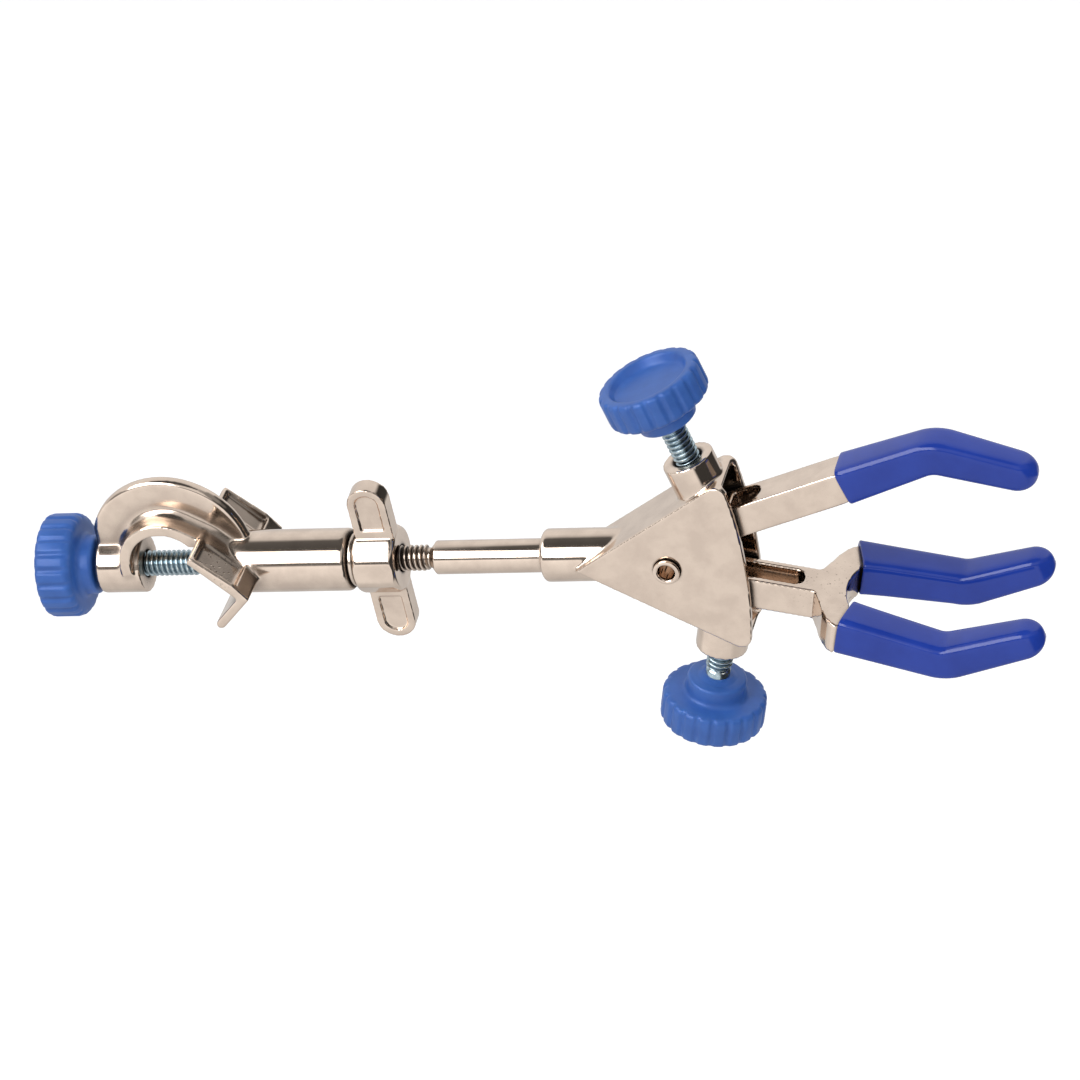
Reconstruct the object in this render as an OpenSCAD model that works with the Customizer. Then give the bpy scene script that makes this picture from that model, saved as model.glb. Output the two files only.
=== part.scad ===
// Three-prong, dual-adjust laboratory clamp on a swivelling boss head. Millimetres.
// X runs along the clamp's rod towards the jaws, Z towards the single upper prong, and Y is the axis
// of the stand rod that the boss head grips. The origin is the centre of that stand rod.

/* [Stand rod] */
// Diameter of the stand rod that sits in the V seat with its centre on the origin
stand_rod_d = 15.5; // [10:0.5:16]

/* [Boss head] */
// Length of the V seat along the stand rod
v_len = 32; // [24:1:36]
// How far the seat's middle stands in front of the web's middle
v_forward = 1; // [0:0.1:1.5]
// Wall of the V seat
v_wall = 2.3; // [2:0.1:3.5]
// Upper leg of the V, from its root
v_upper_leg = 15.1; // [11:0.1:15.5]
// Lower leg of the V, from its root
v_lower_leg = 8.9; // [8:0.1:14]
// Inside radius of the hook
hook_r = 9; // [8:0.1:10]
// Radial thickness of the hook's inner flange
flange_t = 2.8; // [2:0.1:3.5]
// Width of the hook's inner flange
flange_w = 15.2; // [12:0.1:16]
// Outside radius of the hook's web
web_r = 20.4; // [18:0.1:22]
// Thickness of the hook's web
web_t = 3.5; // [2.5:0.1:5]
// Diameter of the boss that carries the clamping screw
screw_boss_d = 14; // [12:0.5:16]
// Diameter of the barrel that carries the extension rod
barrel_d = 15.2; // [14:0.1:17]
// Right end of the barrel
barrel_end = 36.2; // [30:0.1:40]

/* [Screws] */
// Nominal diameter of every thread
thread_d = 6.35; // [5:0.05:7]
// Radial clearance of a screw in its hole, and of the jaws on their pin
running = 0.05; // [0.02:0.01:0.1]
// Length of the boss screw that stands out of its knob
boss_screw_reach = 27.5; // [24:0.5:29]
// Length of each jaw screw that stands out of its knob
jaw_screw_reach = 23.4; // [22:0.1:25]

/* [Knobs] */
// Outside diameter of a knob
knob_d = 25.2; // [20:0.1:26]
// Thickness of the fluted skirt
skirt_t = 8; // [6:0.1:9]
// Number of flutes round the skirt
flutes = 20; // [12:1:24]
// Diameter of the dished top
dish_d = 19.4; // [15:0.1:20]
// Depth of the dished top
dish_depth = 2.2; // [1:0.1:3]
// Diameter of the hub under the skirt
hub_d = 14.4; // [12:0.1:16]
// Height of the hub
hub_t = 4.7; // [3:0.1:5]
// Diameter of the nose at the end of the hub
nose_d = 9; // [8:0.1:10]
// Height of the nose
nose_t = 0.7; // [0.5:0.1:2]

/* [Wing nut] */
// Width across the flats of the eight-sided hub
nut_flats = 15.6; // [14:0.1:17]
// Length of the hub
nut_len = 10.7; // [10:0.1:14]
// Distance between the tips of the wings
wing_span = 44.6; // [38:0.1:48]
// Width of a wing
wing_w = 9.6; // [8:0.1:10]
// Thickness of a wing
wing_t = 4.6; // [3.5:0.1:5]
// How far the wings are turned out of the plane of the jaws
wing_turn = 5; // [0:1:45]

/* [Extension rod] */
// Diameter of the rod
rod_d = 8.2; // [7.8:0.1:8.6]
// Where the full diameter of the rod starts
shoulder_x = 57.2; // [56:0.1:60]
// Left end of the socket that holds the rod
socket_x = 84; // [80:0.1:86]
// Diameter of that socket
socket_d = 12.8; // [12:0.1:14]

/* [Clamp housing] */
// Position of the jaws' pivot along the rod
pivot_x = 115.5; // [113:0.1:118]
// Width over the two cheeks
housing_w = 15.2; // [15:0.1:17]
// Wall of the housing
housing_wall = 2; // [1.6:0.1:2.2]
// Slope of the top and bottom walls
wall_slope = 31.5; // [30:0.1:33]
// Distance from the pivot to the point of the cheeks
apex = 22.5; // [22:0.1:24]
// Distance from the pivot to the middle of the curved mouth
mouth = 19; // [18:0.1:19.5]
// Diameter of the two screw bosses
jaw_boss_d = 12.6; // [12:0.1:13]
// Lean of the screws towards the boss head
screw_lean = 15.4; // [14:0.1:17]

/* [Jaws] */
// Angle of the single upper jaw above the rod's axis
upper_angle = 18.3; // [2:0.1:27]
// Angle of the forked lower jaw below the rod's axis
lower_angle = 13; // [2:0.1:27]
// Width of both arms
arm_w = 9.4; // [9:0.1:9.6]
// Depth of both arms
arm_h = 8; // [7.4:0.1:8.4]
// Distance from the pivot's plane to the middle of an arm
arm_offset = 4.7; // [4.4:0.1:5]
// Thickness of the soft sleeves
sleeve_t = 0.8; // [0.6:0.1:1]
// How much longer the front prong of the fork is than its middle, and the back prong shorter
fork_skew = 1.2; // [0:0.1:1.5]

/* [Hidden] */
$fn = 64;
cut = 0.5;                                   // overshoot of a cutting tool past a face

nickel = "#d9cabd";
zinc = "#b7c2c6";
knob_blue = "#4f6db3";
sleeve_blue = "#3a4c9c";

// Boss head
v_root = stand_rod_d / sqrt(2);              // inside corner of the V, on X
v_back = v_root + v_wall * sqrt(2);          // its outside corner
v_thin = 1.3;                                // wall of the upper leg inside its raised rims
v_rim = [2.8, 2];                            // wall of those rims, at the root and at the tip
v_y = -v_forward;
hook_c = [-9, 3.5];                          // centre of the hook's inner flange in XZ
hook_end = 208;                              // where the flange ends, under the screw's boss
leave = 59;                                  // where the flange leaves its circle for the seat
turn_r = 8;                                  // radius of the bend that lays it along the seat
seat_out = 13.2;                             // x + z of the flange's outer face along the seat
web_c = [-8.9, 3.9];                         // centre of the web's outer edge
boss_x0 = -28;
boss_x1 = -16.5;
barrel_bore_x = 17;
rod_tail_x = 18;

// Knobs: every knob is built with its dished top at 0 and its nose towards +Z
knob_h = skirt_t + hub_t + nose_t;
screw_seat = 4;                              // where the screw's foot sits inside the knob
boss_knob_gap = 0.2;
boss_knob_x = boss_x0 - boss_knob_gap - knob_h;

// Wing nut and washer
washer_t = 1.2;
washer_gap = 0.15;
nut_x = barrel_end + washer_t + 2 * washer_gap;
hub_turn = -9;                               // turn of the hub's flats from the plane of the wings
wing_mid = 5.8;                              // middle of the wings from the hub's left end

// Housing, in the frame of the pivot
half_w = housing_w / 2;
inner_half_w = half_w - housing_wall;
rise = tan(wall_slope);
wall_across = housing_wall / cos(wall_slope);
mouth_r = 122;
cavity_x = -11;
boss_foot = [9.4, 20];                       // a point on each screw's axis
boss_reach = 6.85;                           // end face of a screw boss along that axis
socket_end_x = pivot_x - 15;

// Jaws, in a frame with s along the arm and h outwards from the pivot
pin_d = 6;
pin_bore = 4;
pin_out = 1.4;                               // how far the pin stands out of each cheek
eye_r = 5;
lug_in = 2.9;                                // upper lugs start here, lower lugs end just inside
lug_gap = 0.15;
slot_half = 1.1;                             // half width of the slot that clears the spring
arm_in = arm_offset - arm_h / 2;
arm_out = arm_offset + arm_h / 2;
arm_start = 8;
wide_start = 5.9;                            // where the lower arm reaches its full width
pocket = [20, 27.6];                         // hollow in the outer face of the upper arm
pocket_half = 3.2;
pocket_depth = 5.6;
trough = [10, 31.6];                         // hollow in the inner face of the lower arm
trough_half = 2.9;
trough_floor = 2;
tip_gap = 0.42;                              // the screws' rounded ends stop short of the arms

// Upper prong: three stations along its middle line, as [s, h], then half depths and half widths
upper_line = [[46, 4.7], [71.4, 4.75], [91.2, -10.05]];
upper_half_h = [arm_h / 2, 3.3, 2.4];
upper_half_w = [arm_w / 2, 3.7, 3];
upper_sleeve_s = 48.4;

// One prong of the fork
fork_line = [[41, 3.7], [68.4, 5], [89.3, -5.55]];
fork_metal = [[41.6, 4.34], [68.4, 5], [89.3, -5.55]];   // the same line for the metal inside the sleeve
fork_half_h = [3.6, 3.3, 2.4];
fork_half_w = [4.4, 3.7, 3];
fork_v = [12.4, 15.2, 15.6];                 // distance of the prong's middle from the arm's middle
fork_sleeve_s = 43.4;
crotch_r = 17.4;
crotch_s = 42;
prong_short = 3.2;                           // the metal ends this far short of its line
bend_r = 9;                                  // bend radius of a sleeve's middle line

// Spring
wire_d = 0.8;
coil_r = 3.85;
coil_pitch = 0.86;

// ---------------------------------------------------------------------------------------- helpers

// Raise a profile drawn in XZ to a plate of width w centred on Y = 0
module along_y(w) { rotate([90, 0, 0]) linear_extrude(w, center = true) children(); }

// Turn something built along +Z to run along +X from x0
module along_x(x0) { translate([x0, 0, 0]) rotate([0, 90, 0]) children(); }

module at_pivot() { translate([pivot_x, 0, 0]) children(); }

module upper_frame() { at_pivot() rotate([0, -upper_angle, 0]) children(); }

module lower_frame() { at_pivot() mirror([0, 0, 1]) rotate([0, -lower_angle, 0]) children(); }

// Frame of a jaw screw: +Z runs outwards along the screw, 0 is the foot point of its axis
module screw_frame(side) {
    at_pivot() mirror([0, 0, side > 0 ? 0 : 1])
        translate([boss_foot[0], 0, boss_foot[1]]) rotate([0, -screw_lean, 0]) children();
}

function unit(v) = v / norm(v);
function left_of(d) = [-d[1], d[0]];
function mitre(a, b) = let(n = left_of(a) + left_of(b)) n / (n * left_of(a));

// Direction across a three-station line at station i
function across(line, i) =
    let(a = unit(line[1] - line[0]), b = unit(line[2] - line[1]))
    i == 0 ? left_of(a) : i == 1 ? mitre(a, b) : left_of(b);

// Outline of a bent, tapering bar about a three-station line
function bent_outline(line, half) = concat(
    [for (i = [0:2]) line[i] + across(line, i) * half[i]],
    [for (i = [2:-1:0]) line[i] - across(line, i) * half[i]]);

// How far a screw's rounded end reaches along its axis when it stands tip_gap off an arm
function tip_reach(angle) =
    let(n = [-sin(angle), cos(angle)], d = [-sin(screw_lean), cos(screw_lean)])
    (arm_out - n * boss_foot) / (n * d) + tip_gap;

// --------------------------------------------------------------------------------------- boss head

// Inner edge of a leg's end; side is 1 for the upper leg and -1 for the lower one
function v_tip(leg, side) = [v_root - leg / sqrt(2), side * leg / sqrt(2)];

// Outline of the V seat: two legs at 45 degrees either side of X, the root nearest the barrel;
// up is the wall of the upper leg at its root and at its tip, and the lower leg has a round end
module v_outline(up) {
    n = [1, 1] / sqrt(2);
    m = [1, -1] / sqrt(2);
    r = v_wall / 2;
    end = v_tip(v_lower_leg, -1) + r * m;
    polygon(concat(
        [[v_root, 0], v_tip(v_upper_leg, 1), v_tip(v_upper_leg, 1) + up[1] * n, v_tip(3, 1) + up[0] * n,
         [v_root + v_wall * sqrt(2) - 0.2, -0.2]],
        [for (k = [0:6]) end + r * [cos(-45 - 30 * k), sin(-45 - 30 * k)]]));
}

// The V seat: the upper leg's outer face is hollow between raised rims at its ends and its tip
module v_seat() {
    n = [1, 1] / sqrt(2);
    t = [1, -1] / sqrt(2);
    tip = v_tip(v_upper_leg + 0.1, 1);
    translate([0, v_y, 0]) {
        along_y(v_len - 0.6) v_outline([v_thin, v_thin]);
        for (s = [-1, 1]) translate([0, s * (v_len / 2 - 0.6), 0]) along_y(1.2) v_outline(v_rim);
        along_y(v_len - 1) polygon([v_tip(0.6, 1) + 0.4 * n, v_tip(2.2, 1) + 0.4 * n,
                                    v_tip(2.2, 1) + 2.6 * n, [v_root + 3.1, -0.1]]);
    }
    for (s = [-1, 1]) let(a = flange_w / 2 - 0.3, b = v_len / 2 + s * v_y - 0.5)
        translate([0, s * (a + b) / 2, 0]) along_y(b - a)
            polygon([tip + 0.5 * n, tip + v_rim[1] * n,
                     tip + v_rim[1] * n + 1.3 * t, tip + 0.5 * n + 1.3 * t]);
}

// Everything in front of the V, a little way into its wall
module v_mouth() {
    root = v_root + v_wall / 2;
    polygon([[root, 0], [root - 40, 40], [root - 40, -40]]);
}

function turn(a) = [cos(a), sin(a)];
function at(p, y) = [p[0], y, p[1]];

// A closed body through a list of rings that all have the same number of points
module loft(rings) {
    sides = len(rings[0]);
    n = len(rings);
    polyhedron([for (ring = rings) each ring], concat(
        [[for (k = [0:sides - 1]) k]],
        [for (i = [0:n - 2]) for (k = [0:sides - 1]) for (half = [0, 1])
         let(m = (k + 1) % sides, a = i * sides, b = a + sides)
         half == 0 ? [a + k, b + k, b + m] : [a + k, b + m, a + m]],
        [[for (k = [sides - 1:-1:0]) (n - 1) * sides + k]]));
}

// Inner flange of the hook: round the hook, then along the seat's back, with a fillet to the web on
// each side. A station is its outer point, the direction outwards, and its inner point.
module hook_flange() {
    out = hook_r + flange_t;
    fillet = 2.6;
    y0 = web_t / 2 - 0.15 + fillet;
    along = [sin(leave), -cos(leave)];
    run = (seat_out - hook_c * [1, 1] - (out - turn_r) * (turn(leave) * [1, 1]) - turn_r * sqrt(2))
        / (along * [1, 1]);
    turn_c = hook_c + run * along + (out - turn_r) * turn(leave);
    last = turn_c + turn_r * turn(45);
    stations = concat(
        [for (i = [0:26]) let(a = hook_end + (leave - hook_end) * i / 26)
         [hook_c + out * turn(a), turn(a), hook_c + hook_r * turn(a)]],
        [[turn_c + turn_r * turn(leave), turn(leave), hook_c + hook_r * turn(48)],
         [turn_c + turn_r * turn(52), turn(52), hook_c + hook_r * turn(38)],
         [last, turn(45), v_tip(12, 1) + [0.4, 0.4]],
         [last + 9.6 * [1, -1] / sqrt(2), turn(45), v_tip(2, 1) + [0.3, 0.3]]]);
    loft([for (i = [0:len(stations) - 1]) let(s = stations[i], w = flange_w / 2 - 0.4 * max(3 - i, 0)) concat(
        [at(s[2], w), at(s[0], w)],
        [for (k = [0:5]) at(s[0] + fillet * (1 + cos(180 + 18 * k)) * s[1], y0 + fillet * sin(180 + 18 * k))],
        [for (k = [5:-1:0])
         at(s[0] + fillet * (1 + cos(180 + 18 * k)) * s[1], -y0 - fillet * sin(180 + 18 * k))],
        [at(s[0], -w), at(s[2], -w)])]);
}

// The web, with a rounded outer edge, from the screw's boss round the hook to the barrel
module hook_web() {
    w = web_t / 2;
    edge = [[1.2, 0], [0.6, 0.16], [0.16, 0.6], [0, 1.2]];   // inwards from the edge, and inwards from a face
    function inner(a) = a > 55 ? web_c + 10.6 * turn(a) : [0, 11.3] + (50 - a) / 42 * [10.2, -9.3];
    loft([for (i = [0:30])
        let(a = 181 - 173 * i / 30, q = web_c + web_r * turn(a), p = [max(q[0], boss_x0 + 0.1), q[1]]) concat(
        [at(inner(a), w)], [for (e = edge) at(p - e[0] * turn(a), w - e[1])],
        [for (k = [3:-1:0]) at(p - edge[k][0] * turn(a), edge[k][1] - w)], [at(inner(a), -w)])]);
}

module boss_head() {
    color(nickel) difference() {
        union() {
            v_seat();
            hook_flange();
            hook_web();
            along_x(0) rotate_extrude() polygon([[0, boss_x0], [screw_boss_d / 2 - 0.5, boss_x0],
                [screw_boss_d / 2, boss_x0 + 0.5], [screw_boss_d / 2, boss_x1], [0, boss_x1]]);
            difference() {
                along_x(0) rotate_extrude() polygon([[0, 2], [barrel_d / 2, 2],
                    [barrel_d / 2, barrel_end - 0.8], [barrel_d / 2 - 0.8, barrel_end], [0, barrel_end]]);
                along_y(v_len + 5) v_mouth();
            }
        }
        along_x(boss_x0 - cut) cylinder(h = boss_x1 - boss_x0 + 2 * cut, d = thread_d + 2 * running);
        along_x(barrel_bore_x) cylinder(h = barrel_end - barrel_bore_x + cut, d = thread_d + 2 * running);
    }
}

// ------------------------------------------------------------------------------------------- knobs

module knob() {
    color(knob_blue) difference() {
        rotate_extrude($fn = 96) polygon([
            [0, dish_depth], [dish_d / 2 - 0.8, dish_depth], [dish_d / 2, 0.6], [dish_d / 2 + 0.4, 0],
            [knob_d / 2 - 0.9, 0], [knob_d / 2, 0.9], [knob_d / 2, skirt_t - 0.7],
            [knob_d / 2 - 0.7, skirt_t], [hub_d / 2 + 1.2, skirt_t], [hub_d / 2 + 0.35, skirt_t + 0.35],
            [hub_d / 2, skirt_t + 1.2],
            [hub_d / 2, skirt_t + hub_t - 0.6], [hub_d / 2 - 0.6, skirt_t + hub_t],
            [nose_d / 2, skirt_t + hub_t], [nose_d / 2 - 0.9, knob_h], [0, knob_h]]);
        for (i = [0:flutes - 1]) rotate(i * 360 / flutes)
            translate([knob_d / 2 + 0.15, 0, -cut])
                cylinder(h = skirt_t + 2 * cut, r = 0.65, $fn = 24);
        translate([0, 0, screw_seat]) cylinder(h = knob_h, d = thread_d + 0.06);
    }
}

// A screw with its foot in the knob and a rounded end, standing out of the nose by reach
module screw(reach) {
    len = knob_h - screw_seat + reach;
    r = thread_d / 2;
    color(zinc) rotate_extrude($fn = 64) intersection() {
        union() {
            square([r, len - r]);
            translate([0, len - r]) circle(r, $fn = 48);
        }
        square([r, len]);
    }
}

module boss_screw() { along_x(boss_knob_x + screw_seat) screw(boss_screw_reach); }

module boss_knob() { along_x(boss_knob_x) knob(); }

// A jaw screw's frame, moved so that 0 is the knob's dished top and +Z runs into the housing
module jaw_knob_frame(side, angle) {
    screw_frame(side) translate([0, 0, tip_reach(angle) + jaw_screw_reach + knob_h])
        rotate([180, 0, 0]) children();
}

module upper_screw() { jaw_knob_frame(1, upper_angle) translate([0, 0, screw_seat]) screw(jaw_screw_reach); }

module upper_knob() { jaw_knob_frame(1, upper_angle) knob(); }

module lower_screw() { jaw_knob_frame(-1, lower_angle) translate([0, 0, screw_seat]) screw(jaw_screw_reach); }

module lower_knob() { jaw_knob_frame(-1, lower_angle) knob(); }

// ------------------------------------------------------------------------------ swivel and wing nut

module wing_washer() {
    color(nickel) along_x(barrel_end + washer_gap) difference() {
        cylinder(h = washer_t, d = 13);
        translate([0, 0, -cut]) cylinder(h = washer_t + 2 * cut, d = thread_d + 0.4);
    }
}

// A wing's outline along +X, with a round end; inset makes the smaller outline of its panel
module wing_outline(root, inset) {
    r = wing_w / 2 - inset;
    tip = wing_span / 2 - inset - r;
    translate([root, -r]) square([tip - root, 2 * r]);
    translate([tip, 0]) circle(r);
}

module wing() {
    panel = 0.7;
    difference() {
        linear_extrude(wing_t, center = true) wing_outline(0, 0);
        for (s = [-1, 1]) translate([0, 0, s * (wing_t / 2)])
            linear_extrude(2 * panel, center = true) wing_outline(nut_flats / 2 + 2.2, 1.9);
    }
}

module wing_nut() {
    color(nickel) translate([nut_x, 0, 0]) rotate([wing_turn, 0, 0]) difference() {
        union() {
            intersection() {
                rotate([0, 90, 0]) rotate(22.5 + hub_turn)
                    cylinder(h = nut_len, d = nut_flats / cos(22.5), $fn = 8);
                rotate([0, 90, 0]) rotate_extrude() polygon([[0, 0], [nut_flats / 2 - 0.5, 0],
                    [nut_flats / 2 + 0.35, 0.9], [nut_flats / 2 + 0.35, nut_len - 0.9],
                    [nut_flats / 2 - 0.5, nut_len], [0, nut_len]]);
            }
            for (s = [0, 180]) translate([wing_mid, 0, 0]) rotate([s, 0, 0])
                rotate([0, -90, 0]) rotate([90, 0, 0]) wing();
        }
        along_x(-cut) cylinder(h = nut_len + 2 * cut, d = thread_d + 2 * running);
    }
}

module extension_rod() {
    cone = 1.2;
    color(nickel) along_x(0) rotate_extrude() polygon([
        [0, rod_tail_x], [thread_d / 2 - 0.6, rod_tail_x], [thread_d / 2, rod_tail_x + 0.6],
        [thread_d / 2, shoulder_x - cone], [rod_d / 2, shoulder_x],
        [rod_d / 2, socket_end_x], [0, socket_end_x]]);
}

// ----------------------------------------------------------------------------------- clamp housing

// Centre of a cheek's upper corner, where a circle of radius r touches slope and mouth
function corner(r) =
    let(b = apex * rise - r / cos(wall_slope), e = mouth_r - mouth, k = 1 + rise * rise, m = e + rise * b,
        x = (sqrt(m * m - k * (e * e + b * b - pow(mouth_r - r, 2))) - m) / k)
    [x, rise * x + b];

// Outline of a cheek about the pivot: two sloping sides, round corners and a curved mouth
module cheek_outline() {
    r = 2.6;
    c = corner(r);
    end = atan2(c[1], c[0] + mouth_r - mouth);
    upper = concat(
        [for (i = [0:6]) let(a = 90 + wall_slope + (end - 90 - wall_slope) * i / 6) c + r * [cos(a), sin(a)]],
        [for (i = [1:7]) let(a = end * (1 - i / 8)) [mouth - mouth_r, 0] + mouth_r * [cos(a), sin(a)]]);
    n = len(upper) - 1;
    polygon(concat([[-apex, 0]], upper, [[mouth, 0]], [for (i = [n:-1:0]) [upper[i][0], -upper[i][1]]]));
}

module cavity_outline() {
    z0 = (cavity_x + apex) * rise - wall_across;
    z1 = (mouth + 3 + apex) * rise - wall_across;
    polygon([[cavity_x, -z0], [cavity_x, z0], [mouth + 3, z1], [mouth + 3, -z1]]);
}

module clamp_housing() {
    color(nickel) difference() {
        union() {
            at_pivot() along_y(housing_w) cheek_outline();
            along_x(0) rotate_extrude() polygon([[0, socket_x], [socket_d / 2 - 0.7, socket_x],
                [socket_d / 2, socket_x + 0.7], [socket_d / 2, pivot_x - 8.5], [0, pivot_x - 8.5]]);
            for (s = [-1, 1]) screw_frame(s) translate([0, 0, -4])
                cylinder(h = boss_reach + 4, d = jaw_boss_d);
        }
        at_pivot() along_y(2 * inner_half_w) cavity_outline();
        at_pivot() rotate([90, 0, 0]) cylinder(h = housing_w + 2, d = pin_d, center = true);
        along_x(socket_x - cut) cylinder(h = socket_end_x - socket_x + cut, d = rod_d);
        for (s = [-1, 1]) screw_frame(s) translate([0, 0, -8]) {
            cylinder(h = boss_reach + 9, d = thread_d + 2 * running);
            translate([0, 0, boss_reach + 8 - 1.3])
                cylinder(h = 1.5, d1 = thread_d - 0.8, d2 = thread_d + 1.6);
        }
    }
}

module pivot_pin() {
    len = housing_w + 2 * pin_out;
    color(nickel) at_pivot() rotate([90, 0, 0]) difference() {
        union() {
            cylinder(h = len, d = pin_d, center = true);
            for (s = [-1, 1]) translate([0, 0, s * (len / 2 - 0.3)])
                cylinder(h = 0.6, d = pin_d + 0.4, center = true);
        }
        cylinder(h = len + 1, d = pin_bore, center = true);
    }
}

// -------------------------------------------------------------------------------------------- jaws

// Side outline of a jaw's root: the eye round the pin, swept up into the arm
module root_outline() {
    circle(eye_r);
    polygon([[-eye_r * cos(45), eye_r * sin(45)], [0, 0], [4.9, -0.7], [arm_start, arm_in],
             [arm_start, arm_out], [3, arm_out]]);
}

module arm_outline(s0, s1) { translate([s0, arm_in]) square([s1 - s0, arm_h]); }

// A bent bar with the side outline of line and half_h, and the plan outline of v and half_w
module prong(line, half_h, half_w, v, extra) {
    s = [for (p = line) p[0]];
    intersection() {
        along_y(60) polygon(bent_outline(
            [line[0], line[1], line[2] + (extra - prong_short) * unit(line[2] - line[1])], half_h));
        linear_extrude(60, center = true) polygon([
            [s[0], v[0] - half_w[0]], [s[1], v[1] - half_w[1]], [s[2] + 4, v[2] - half_w[2]],
            [s[2] + 4, v[2] + half_w[2]], [s[1], v[1] + half_w[1]], [s[0], v[0] + half_w[0]]]);
    }
}

// Rounded rectangle of half sizes h and w about p, across a line at angle a in XZ; slant moves its
// points along the line in step with their distance from its middle
function section(p, a, v, h, w, r, slant = 0) = [for (k = [0:23])
    let(q = floor(k / 6), t = q * 90 + (k % 6) * 18, su = q == 0 || q == 3 ? 1 : -1, sv = q < 2 ? 1 : -1,
        y = su * (w - r) + r * cos(t), z = sv * (h - r) + r * sin(t))
    [p[0] - z * sin(a) + slant * y * cos(a), v + y, p[1] + z * cos(a) + slant * y * sin(a)]];

// Soft sleeve over a prong from s0: a straight run, a bend, a straight run and a domed end
module sleeve(line, v, extra, s0, slant = 0) {
    d0 = unit(line[1] - line[0]);
    d1 = unit(line[2] - line[1]);
    a0 = atan2(d0[1], d0[0]);
    a1 = atan2(d1[1], d1[0]);
    run = bend_r * tan((a0 - a1) / 2);
    hub = line[1] - run * d0 - bend_r * left_of(d0);
    length = norm(line[2] - line[1]) + extra;
    h = [arm_h / 2 + sleeve_t + 0.1, 4.4, 3.8];
    w = [arm_w / 2 + sleeve_t - 0.1, 4.9, 4.1];
    function mix(l, t) = l[1] + (l[2] - l[1]) * t;
    dome = 5;
    color(sleeve_blue) difference() {
        loft(concat(
            [section(line[0] + (s0 - line[0][0]) * d0, a0, v[0], h[0], w[0], 2, slant)],
            [for (i = [0:4]) let(a = a0 + (a1 - a0) * i / 4)
             section(hub + bend_r * [-sin(a), cos(a)], a, v[1], h[1], w[1], 2.5)],
            [for (i = [0:5]) let(e = length - dome + dome * sin(i * 15), t = e / length, k = cos(i * 15))
             section(line[1] + e * d1, a1, v[1] + (v[2] - v[1]) * t,
                     k * mix(h, t), k * mix(w, t), k * 2.6)]));
        children();
    }
}

module upper_jaw() {
    color(nickel) upper_frame() difference() {
        union() {
            along_y(arm_w) { root_outline(); arm_outline(arm_start - 0.01, upper_line[0][0] + 0.1); }
            prong(upper_line, upper_half_h, upper_half_w, [0, 0, 0], 0);
        }
        // room for the lower jaw's lugs and the spring
        along_y(2 * lug_in) translate([-8, -8]) square([16, 20]);
        // hollow in the outer face
        along_y(2 * pocket_half) translate([pocket[0], arm_out - pocket_depth])
            square([pocket[1] - pocket_half - pocket[0], pocket_depth + cut]);
        translate([pocket[1] - pocket_half, 0, arm_out - pocket_depth])
            cylinder(h = pocket_depth + cut, r = pocket_half);
        rotate([90, 0, 0]) cylinder(h = 20, d = pin_d + 2 * running, center = true);
    }
}

module upper_sleeve() {
    upper_frame() sleeve(upper_line, [0, 0, 0], 0, upper_sleeve_s)
        prong(upper_line, upper_half_h, upper_half_w, [0, 0, 0], 0);
}

// Plan outline of the fork's plate, from the arm to the roots of the two prongs
module fork_plan() {
    half = arm_w / 2;
    end = fork_sleeve_s - 0.35;
    difference() {
        polygon([[33, half], [34.8, half], [36.3, 8], [38, 12.5], [39.9, 15.6], [41.4, 16.9], [41.9, 17.1],
                 [end + 0.6, 7.5], [end + 0.6, -7.5],
                 [41.9, -17.1], [41.4, -16.9], [39.9, -15.6], [38, -12.5], [36.3, -8],
                 [34.8, -half], [33, -half]]);
        translate([crotch_s + crotch_r, 0]) circle(crotch_r, $fn = 128);
    }
}

module fork_prong(side) {
    prong(fork_metal, fork_half_h, fork_half_w, side * fork_v, -side * fork_skew);
}

module lower_jaw() {
    color(nickel) lower_frame() difference() {
        union() {
            // narrow lugs that fit between the upper jaw's
            along_y(2 * (lug_in - lug_gap)) { root_outline(); arm_outline(arm_start - 0.01, 12); }
            along_y(arm_w) arm_outline(wide_start, 34);
            intersection() {
                along_y(40) arm_outline(33, fork_line[0][0] + 4);
                linear_extrude(30, center = true) fork_plan();
            }
            for (side = [-1, 1]) fork_prong(side);
        }
        along_y(2 * slot_half) translate([-8, -8]) square([8 + trough[0] + 1, 20]);
        along_y(2 * trough_half) translate([trough[0], arm_in - cut])
            square([trough[1] - 2.5 - trough[0], arm_h - trough_floor + cut]);
        translate([trough[1] - 2.5, 0, arm_in - cut]) {
            for (a = [-1, 1]) translate([0, a * (trough_half - 2.5), 0])
                cylinder(h = arm_h - trough_floor + cut, r = 2.5);
            translate([1.25, 0, (arm_h - trough_floor + cut) / 2])
                cube([2.5, 2 * (trough_half - 2.5), arm_h - trough_floor + cut], center = true);
        }
        rotate([90, 0, 0]) cylinder(h = 20, d = pin_d + 2 * running, center = true);
    }
}

module fork_sleeve(side) {
    lower_frame() sleeve(fork_line, side * fork_v, -side * fork_skew, fork_sleeve_s, -0.2 * side)
        fork_prong(side);
}

module front_sleeve() { fork_sleeve(-1); }

module back_sleeve() { fork_sleeve(1); }

// ------------------------------------------------------------------------------------------ spring

// A round wire swept along a path of points
module wire(path) {
    sides = 8;
    n = len(path);
    loft([for (i = [0:n - 1])
        let(t = unit(path[min(i + 1, n - 1)] - path[max(i - 1, 0)]), u = unit(cross(t, [0, 1, 0.001])),
            w = cross(t, u))
        [for (k = [0:sides - 1])
            path[i] + wire_d / 2 * (cos(k * 360 / sides) * u + sin(k * 360 / sides) * w)]]);
}

// A point of one jaw's frame in the plane of the pivot's frame
function jaw_point(side, angle, s, h) =
    [s * cos(angle) - h * sin(angle), side * (s * sin(angle) + h * cos(angle))];

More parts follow.
